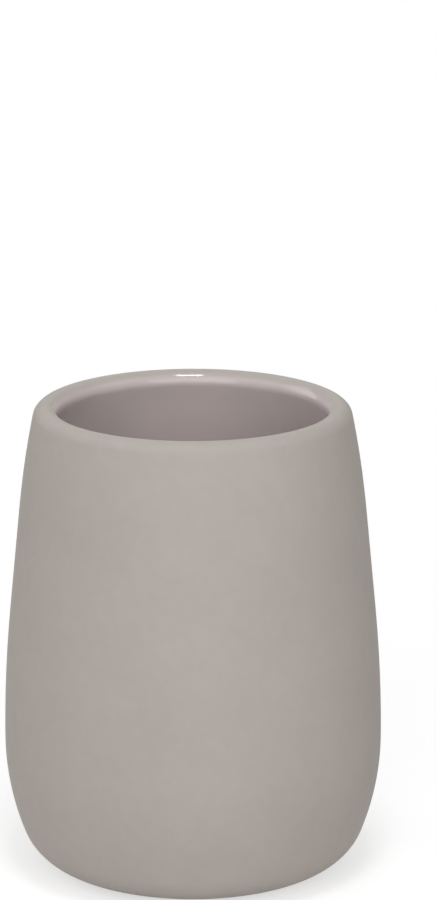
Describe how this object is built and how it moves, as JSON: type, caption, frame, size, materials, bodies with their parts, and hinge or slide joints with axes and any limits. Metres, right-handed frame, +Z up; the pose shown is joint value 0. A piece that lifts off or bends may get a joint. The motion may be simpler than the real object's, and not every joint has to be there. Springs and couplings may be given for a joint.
{
  "type": "toothbrush holder",
  "caption": "Round ceramic bathroom tumbler with a soft belly and thick round lip, matte outside and gloss glazed inside, on rubber feet; holds toothbrushes upright.",
  "frame": {"origin": "centre of the base on the tabletop, in the plane of the rubber feet's undersides", "axes": "+Z up along the tumbler's axis of revolution; the feet lie at 45 degrees to +X and +Y"},
  "size_m": [0.08, 0.08, 0.1],
  "materials": {
    "bare_clay": "unglazed fired clay",
    "matte_coat": "warm grey soft-touch coat, fully matte",
    "gloss_glaze": "pale warm grey gloss glaze with a mauve cast",
    "rubber": "moulded matte rubber",
    "adhesive": "pressed adhesive film"
  },
  "bodies": {
    "root": {"ceramic_body": "bare_clay", "matte_coat": "matte_coat", "glaze_lining": "gloss_glaze", "rubber_foot_1": "rubber", "rubber_foot_2": "rubber", "rubber_foot_3": "rubber", "rubber_foot_4": "rubber", "foot_adhesive_1": "adhesive", "foot_adhesive_2": "adhesive", "foot_adhesive_3": "adhesive", "foot_adhesive_4": "adhesive"}
  },
  "joints": []
}
